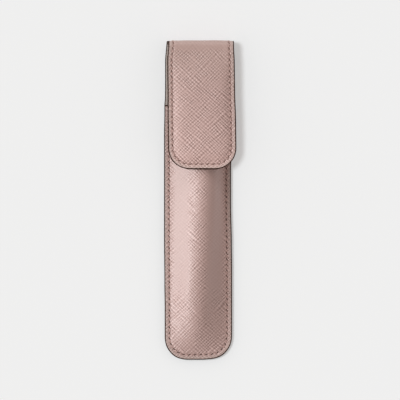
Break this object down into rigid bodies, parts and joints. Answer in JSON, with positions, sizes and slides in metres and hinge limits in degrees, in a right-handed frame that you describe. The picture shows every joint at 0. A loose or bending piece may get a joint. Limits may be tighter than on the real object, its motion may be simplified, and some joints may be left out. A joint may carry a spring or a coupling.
{
  "type": "single pen sleeve",
  "caption": "Slim leather sleeve for one pen, with a moulded front panel, stitched and painted edges, and a flap that folds over the mouth.",
  "frame": {"origin": "on the resting plane of the back, under the middle of the body", "axes": "+Z out of the front, +Y along the sleeve towards the fold, +X to the right seen from the front"},
  "size_m": [0.0361, 0.1602, 0.0157],
  "materials": {
    "outer_leather": "cross-grain embossed calf leather, satin",
    "lining_leather": "fine suede lining, matt",
    "thread": "twisted sewing thread, tonal",
    "edge_paint": "dark edge paint, semi-matt",
    "board": "bonded leather board",
    "padding": "thin felt",
    "magnet": "nickel plated",
    "keeper": "spring steel strip"
  },
  "bodies": {
    "sleeve": {"back_leather": "outer_leather", "back_board": "board", "back_lining": "lining_leather", "front_leather": "outer_leather", "front_lining": "lining_leather", "closure_keeper": "keeper", "seam_stitches_front": "thread", "seam_stitches_back": "thread", "strip_stitches_inside": "thread", "seam_edge_paint": "edge_paint", "strip_edge_paint": "edge_paint", "mouth_edge_paint": "edge_paint", "back_crease_leather": "outer_leather", "back_crease_lining": "lining_leather", "back_crease_edge_paint": "edge_paint"},
    "spine": {"spine_leather": "outer_leather", "spine_lining": "lining_leather", "spine_edge_paint": "edge_paint", "spine_stitches": "thread"},
    "flap": {"front_crease_leather": "outer_leather", "front_crease_lining": "lining_leather", "front_crease_edge_paint": "edge_paint", "flap_leather": "outer_leather", "flap_padding": "padding", "flap_lining": "lining_leather", "closure_magnet": "magnet", "flap_stitches_outer": "thread", "flap_stitches_inside": "thread", "flap_edge_paint": "edge_paint"}
  },
  "joints": [
    {"name": "back_crease", "type": "hinge", "parent": "sleeve", "child": "spine", "pos_m": [0.0005, 0.07877, 0.00173], "axis": [-1, 0, 0], "range_deg": [0, 90], "deforming": ["back_crease_leather", "back_crease_lining", "back_crease_edge_paint"]},
    {"name": "front_crease", "type": "hinge", "parent": "spine", "child": "flap", "pos_m": [0.0016, 0.07877, 0.01307], "axis": [-1, 0, 0], "range_deg": [0, 86], "deforming": ["front_crease_leather", "front_crease_lining", "front_crease_edge_paint"]}
  ]
}
